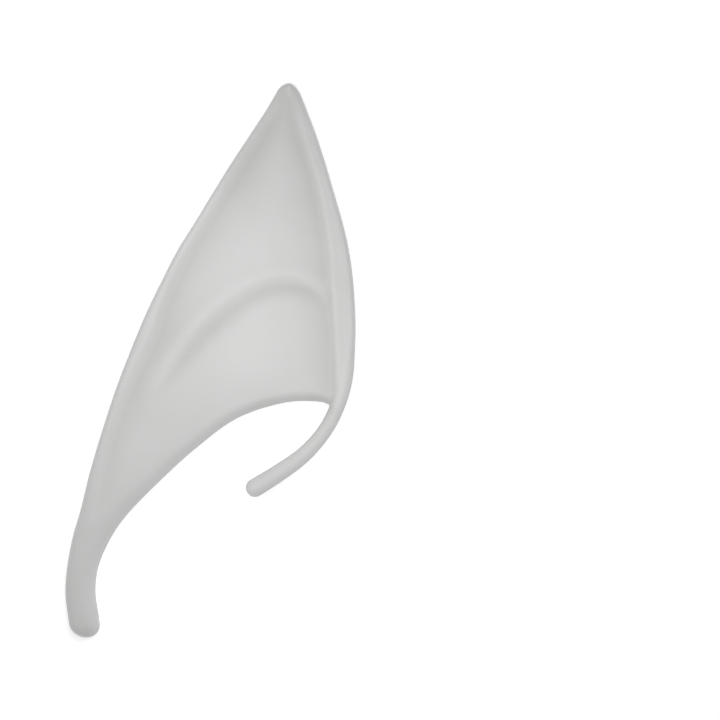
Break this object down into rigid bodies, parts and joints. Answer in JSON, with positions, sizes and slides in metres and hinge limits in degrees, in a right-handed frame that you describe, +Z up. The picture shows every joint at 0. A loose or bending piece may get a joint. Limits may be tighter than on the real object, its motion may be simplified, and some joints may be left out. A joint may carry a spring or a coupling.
{
  "type": "elf ear tip",
  "caption": "Long pointed elf ear tip of moulded latex, hollow and open along its lower edge, with two arms that hook around the wearer's ear.",
  "frame": {"origin": "on the surface that the ear tip lies on, under the middle of its outline", "axes": "+X from the long arm to the front rim, +Y from the long arm to the tip, +Z up out of the face"},
  "size_m": [0.0654, 0.125, 0.0162],
  "materials": {
    "latex": "matte off-white moulded latex"
  },
  "bodies": {
    "root": {"ear_shell": "latex"}
  },
  "joints": []
}
